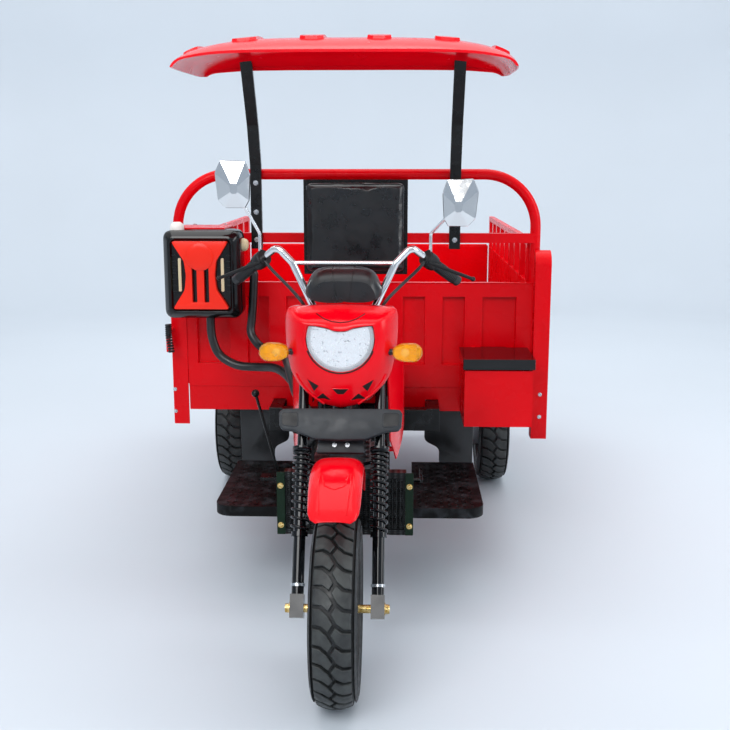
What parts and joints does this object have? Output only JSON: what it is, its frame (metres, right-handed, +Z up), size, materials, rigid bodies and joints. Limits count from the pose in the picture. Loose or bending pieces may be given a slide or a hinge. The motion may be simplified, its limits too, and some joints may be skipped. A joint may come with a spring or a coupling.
{
  "type": "cargo motor tricycle",
  "caption": "Motor tricycle with a motorcycle front end, saddle, moulded roof and an open pressed-steel cargo box over a driven rear axle.",
  "frame": {"origin": "on the ground at the middle of the footprint, midway between the front of the front tyre and the tailgate", "axes": "+Z up, -Y towards the front wheel, +X towards the rider's left"},
  "size_m": [1.49, 3.3474, 1.9118],
  "materials": {
    "red_paint": "gloss",
    "red_plastic": "gloss",
    "black_steel": "satin",
    "black_plastic": "satin",
    "orange_plastic": "gloss",
    "hose_rubber": "satin",
    "grip_rubber": "matte",
    "black_vinyl": "satin",
    "cast_alloy": "cast",
    "exhaust_steel": "satin",
    "gold_zinc": "satin",
    "wheel_steel": "satin",
    "tyre": "matte",
    "chrome": "polished",
    "lamp_glass": "clear",
    "radiator_alloy": "satin",
    "green_plate": "satin",
    "red_lens": "gloss",
    "amber_lens": "gloss"
  },
  "bodies": {
    "chassis": {"air_filter_box": "black_plastic", "air_filter_grille": "orange_plastic", "air_hoses": "hose_rubber", "backrest_pad": "black_vinyl", "backrest_plate": "black_steel", "battery_box": "red_paint", "box_posts": "red_paint", "cargo_floor": "red_paint", "cargo_front_wall": "red_paint", "cargo_side_left": "red_paint", "cargo_side_right": "red_paint", "chassis_rails": "black_steel", "drive_shaft": "black_steel", "driver_seat": "black_vinyl", "engine": "cast_alloy", "exhaust": "exhaust_steel", "filter_bracket": "red_paint", "foot_pedals": "black_steel", "footboards": "black_steel", "fuel_tank": "red_paint", "guard_hoop": "red_paint", "hand_lever": "black_steel", "leaf_springs": "black_steel", "main_frame": "black_steel", "radiator": "radiator_alloy", "radiator_guards": "green_plate", "rear_axle": "black_steel", "roof": "red_plastic", "roof_posts": "black_steel", "seat_base": "black_steel", "side_shrouds": "red_plastic", "tail_lamps": "red_lens", "tailgate_hinges": "black_steel"},
    "steering": {"fork": "black_steel", "fork_springs": "black_steel", "front_axle": "gold_zinc", "front_fender": "red_plastic", "front_plate": "black_plastic", "fairing": "red_plastic", "headlamp": "lamp_glass", "turn_signals": "amber_lens", "dash_hood": "black_plastic", "handlebar": "chrome", "hand_grips": "grip_rubber", "hand_controls": "black_plastic", "control_cables": "hose_rubber", "mirror_heads": "chrome", "mirror_stems": "chrome"},
    "front_wheel": {"front_tyre": "tyre", "front_rim": "wheel_steel"},
    "rear_wheel_left": {"rear_tyre_left": "tyre", "rear_rim_left": "wheel_steel"},
    "rear_wheel_right": {"rear_tyre_right": "tyre", "rear_rim_right": "wheel_steel"},
    "tailgate": {"tailgate": "red_paint"},
    "battery_lid": {"battery_box_lid": "black_plastic"}
  },
  "joints": [
    {"name": "steer", "type": "hinge", "parent": "chassis", "child": "steering", "pos_m": [0, -1.37006, 0.25661], "axis": [0, 0.454, 0.891], "range_deg": [-38, 38]},
    {"name": "front_wheel_spin", "type": "hinge", "parent": "steering", "child": "front_wheel", "pos_m": [0, -1.40125, 0.2725], "axis": [1, 0, 0], "continuous": true},
    {"name": "rear_wheel_left_spin", "type": "hinge", "parent": "chassis", "child": "rear_wheel_left", "pos_m": [0.614, 0.74875, 0.284], "axis": [1, 0, 0], "continuous": true},
    {"name": "rear_wheel_right_spin", "type": "hinge", "parent": "chassis", "child": "rear_wheel_right", "pos_m": [-0.614, 0.74875, 0.284], "axis": [1, 0, 0], "continuous": true},
    {"name": "tailgate_drop", "type": "hinge", "parent": "chassis", "child": "tailgate", "pos_m": [0, 1.66075, 0.6214], "axis": [-1, 0, 0], "range_deg": [0, 175]},
    {"name": "battery_lid_open", "type": "hinge", "parent": "chassis", "child": "battery_lid", "pos_m": [0.534, -0.16955, 0.7986], "axis": [-1, 0, 0], "range_deg": [0, 85]}
  ]
}
